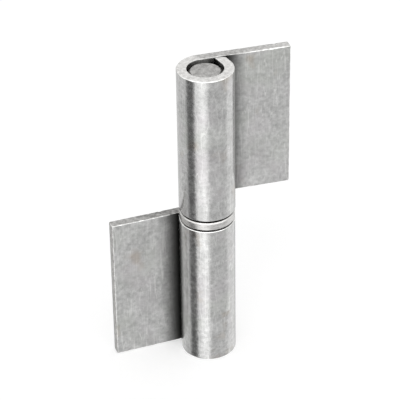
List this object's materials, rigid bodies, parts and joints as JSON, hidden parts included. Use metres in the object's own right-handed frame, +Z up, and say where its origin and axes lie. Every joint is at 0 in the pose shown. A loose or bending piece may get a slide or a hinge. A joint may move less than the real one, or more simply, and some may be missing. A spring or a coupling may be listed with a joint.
{
  "type": "weld-on barrel hinge",
  "caption": "Flag-pattern weld-on hinge: flat steel leaves rolled into round knuckles turn on a plain pin with a thrust washer between them, and the upper leaf lifts off.",
  "frame": {"origin": "on the pin's axis at the foot of the lower knuckle, which is the middle of the underside of the hinge's box", "axes": "+Z up along the pin's axis, from the lower leaf to the upper one; the lower leaf points to -X and the upper one to about +X; +Y is the outward normal of the lower leaf's weld face, and -Y the side that the barrel stands out to"},
  "size_m": [0.0537, 0.0162, 0.0935],
  "materials": {
    "leaf_steel": "raw mild steel strip, pickled grey, rolled bright on the knuckles, with scratches and bright sheared edges",
    "pin_steel": "plain bright-drawn bar, dull mottled end face",
    "washer_steel": "turned steel ring with a scuffed rim"
  },
  "bodies": {
    "lower": {"lower_leaf": "leaf_steel", "hinge_pin": "pin_steel"},
    "washer": {"thrust_washer": "washer_steel"},
    "upper": {"upper_leaf": "leaf_steel"}
  },
  "joints": [
    {"name": "leaf_swing", "type": "hinge", "parent": "lower", "child": "washer", "pos_m": [0, 0, 0.04675], "axis": [0, 0, 1], "continuous": true},
    {"name": "lift_off", "type": "slide", "parent": "washer", "child": "upper", "axis": [0, 0, 1], "range_m": [0, 0.05]}
  ]
}
